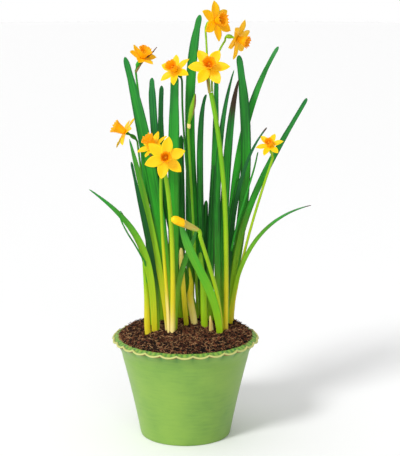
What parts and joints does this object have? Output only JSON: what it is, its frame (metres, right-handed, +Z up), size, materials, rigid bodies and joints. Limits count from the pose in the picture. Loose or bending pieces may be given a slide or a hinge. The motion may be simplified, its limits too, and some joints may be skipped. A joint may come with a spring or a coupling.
{
  "type": "potted daffodil",
  "caption": "Miniature daffodils with yellow flowers and strap leaves, growing from bulbs in peat in a green glazed pot with a scalloped lip.",
  "frame": {"origin": "centre of the pot's flat base, on the surface that it stands on", "axes": "+Z up along the pot's axis, -Y towards the front, +X to the right"},
  "size_m": [0.2177, 0.1496, 0.4388],
  "materials": {
    "pot_glaze": "satin green glaze, cream and brown at the lip",
    "peat": "dark fibrous peat",
    "bulb_skin": "papery brown skin",
    "leaf": "waxy green leaf",
    "stem": "smooth yellow-green stem",
    "petal": "satin yellow petal",
    "corona": "satin orange trumpet",
    "bud": "green bud in a papery sheath"
  },
  "bodies": {
    "root": {"bud_nodding": "bud", "bud_upright": "bud", "bulb_centre": "bulb_skin", "bulb_front": "bulb_skin", "bulb_left": "bulb_skin", "bulb_left_back": "bulb_skin", "bulb_right": "bulb_skin", "bulb_right_back": "bulb_skin", "corona_behind": "corona", "corona_centre": "corona", "corona_front": "corona", "corona_left": "corona", "corona_left_centre": "corona", "corona_right": "corona", "corona_top_left": "corona", "corona_top_right": "corona", "corona_upper_left": "corona", "leaf_01": "leaf", "leaf_02": "leaf", "leaf_03": "leaf", "leaf_04": "leaf", "leaf_05": "leaf", "leaf_06": "leaf", "leaf_07": "leaf", "leaf_08": "leaf", "leaf_09": "leaf", "leaf_10": "leaf", "leaf_11": "leaf", "leaf_12": "leaf", "leaf_13": "leaf", "leaf_14": "leaf", "leaf_15": "leaf", "leaf_16": "leaf", "leaf_17": "leaf", "leaf_18": "leaf", "leaf_19": "leaf", "leaf_20": "leaf", "pedicel_centre": "stem", "pedicel_top_left": "stem", "pedicel_top_right": "stem", "petals_behind": "petal", "petals_centre": "petal", "petals_front": "petal", "petals_left": "petal", "petals_left_centre": "petal", "petals_right": "petal", "petals_top_left": "petal", "petals_top_right": "petal", "petals_upper_left": "petal", "pot": "pot_glaze", "scape_trio": "stem", "soil": "peat", "stem_behind": "stem", "stem_bud_nodding": "stem", "stem_bud_upright": "stem", "stem_front": "stem", "stem_left": "stem", "stem_left_centre": "stem", "stem_right": "stem", "stem_upper_left": "stem"}
  },
  "joints": []
}
